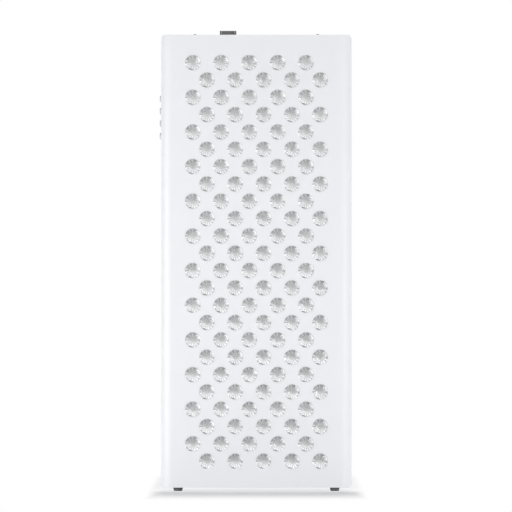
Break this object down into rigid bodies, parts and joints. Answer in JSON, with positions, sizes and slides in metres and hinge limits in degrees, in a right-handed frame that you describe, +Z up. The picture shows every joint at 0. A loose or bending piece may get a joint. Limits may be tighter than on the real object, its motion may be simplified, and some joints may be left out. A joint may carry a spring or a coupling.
{
  "type": "red light therapy panel",
  "caption": "Tall free-standing light panel: white sheet-metal case, staggered grid of clear round lenses in front, rocker switch on top, push buttons at the side, fan-cooled back with a mains inlet.",
  "frame": {"origin": "on the ground, at the bottom of the feet, below the middle of the case's width and depth", "axes": "+Z up along the case's height, +X along its width with the buttons at -X, and the lamps face -Y"},
  "size_m": [0.2594, 0.0717, 0.6214],
  "materials": {
    "white_coat": "satin",
    "clear_lens": "gloss",
    "lamp_board": "satin",
    "bare_aluminium": "satin",
    "zinc_steel": "satin",
    "dark_plastic": "satin",
    "switch_grey": "satin",
    "button_grey": "satin",
    "foot_rubber": "matte",
    "control_board": "satin",
    "lead_sheath": "matte",
    "brass": "polished"
  },
  "bodies": {
    "case": {"front_housing": "white_coat", "rear_cover": "white_coat", "lens_array_1": "clear_lens", "lens_array_2": "clear_lens", "lens_array_3": "clear_lens", "lens_array_4": "clear_lens", "led_board_1": "lamp_board", "led_board_2": "lamp_board", "led_board_3": "lamp_board", "led_board_4": "lamp_board", "heat_sink_lower": "bare_aluminium", "heat_sink_upper": "bare_aluminium", "mounting_rail_left": "zinc_steel", "mounting_rail_right": "zinc_steel", "fan_frame_lower": "dark_plastic", "fan_frame_upper": "dark_plastic", "fan_screw_lower_1": "zinc_steel", "fan_screw_lower_2": "zinc_steel", "fan_screw_lower_3": "zinc_steel", "fan_screw_lower_4": "zinc_steel", "fan_screw_upper_1": "zinc_steel", "fan_screw_upper_2": "zinc_steel", "fan_screw_upper_3": "zinc_steel", "fan_screw_upper_4": "zinc_steel", "led_driver": "bare_aluminium", "driver_screw_1": "zinc_steel", "driver_screw_2": "zinc_steel", "switch_body": "switch_grey", "inlet_socket": "dark_plastic", "inlet_blade_live": "brass", "inlet_blade_earth": "brass", "inlet_blade_neutral": "brass", "inlet_screw_left": "zinc_steel", "inlet_screw_right": "zinc_steel", "button_board": "control_board", "foot_front_left": "foot_rubber", "foot_front_right": "foot_rubber", "foot_rear_left": "foot_rubber", "foot_rear_right": "foot_rubber", "hanging_screw_left": "zinc_steel", "hanging_screw_right": "zinc_steel", "cover_screw_1": "zinc_steel", "cover_screw_2": "zinc_steel", "cover_screw_3": "zinc_steel", "cover_screw_4": "zinc_steel", "cover_screw_5": "zinc_steel", "cover_screw_6": "zinc_steel", "mains_lead": "lead_sheath", "driver_lead": "lead_sheath", "lamp_lead": "lead_sheath", "fan_lead_lower": "lead_sheath", "fan_lead_upper": "lead_sheath", "button_lead": "lead_sheath"},
    "rocker": {"switch_rocker": "switch_grey"},
    "fan_lower": {"fan_rotor_lower": "dark_plastic"},
    "fan_upper": {"fan_rotor_upper": "dark_plastic"},
    "button_top": {"button_1": "button_grey"},
    "button_second": {"button_2": "button_grey"},
    "button_third": {"button_3": "button_grey"},
    "button_bottom": {"button_4": "button_grey"}
  },
  "joints": [
    {"name": "rocker_tilt", "type": "hinge", "parent": "case", "child": "rocker", "pos_m": [-0.0382, 0.006, 0.6165], "axis": [1, 0, 0], "range_deg": [0, 18]},
    {"name": "fan_lower_spin", "type": "hinge", "parent": "case", "child": "fan_lower", "pos_m": [0, 0.024, 0.1576], "axis": [0, 1, 0], "continuous": true},
    {"name": "fan_upper_spin", "type": "hinge", "parent": "case", "child": "fan_upper", "pos_m": [0, 0.024, 0.4626], "axis": [0, 1, 0], "continuous": true},
    {"name": "button_top_press", "type": "slide", "parent": "case", "child": "button_top", "axis": [1, 0, 0], "range_m": [0, 0.001], "stiffness_N_per_m": 1000, "springref_m": -0.0008},
    {"name": "button_second_press", "type": "slide", "parent": "case", "child": "button_second", "axis": [1, 0, 0], "range_m": [0, 0.001], "stiffness_N_per_m": 1000, "springref_m": -0.0008},
    {"name": "button_third_press", "type": "slide", "parent": "case", "child": "button_third", "axis": [1, 0, 0], "range_m": [0, 0.001], "stiffness_N_per_m": 1000, "springref_m": -0.0008},
    {"name": "button_bottom_press", "type": "slide", "parent": "case", "child": "button_bottom", "axis": [1, 0, 0], "range_m": [0, 0.001], "stiffness_N_per_m": 1000, "springref_m": -0.0008}
  ]
}
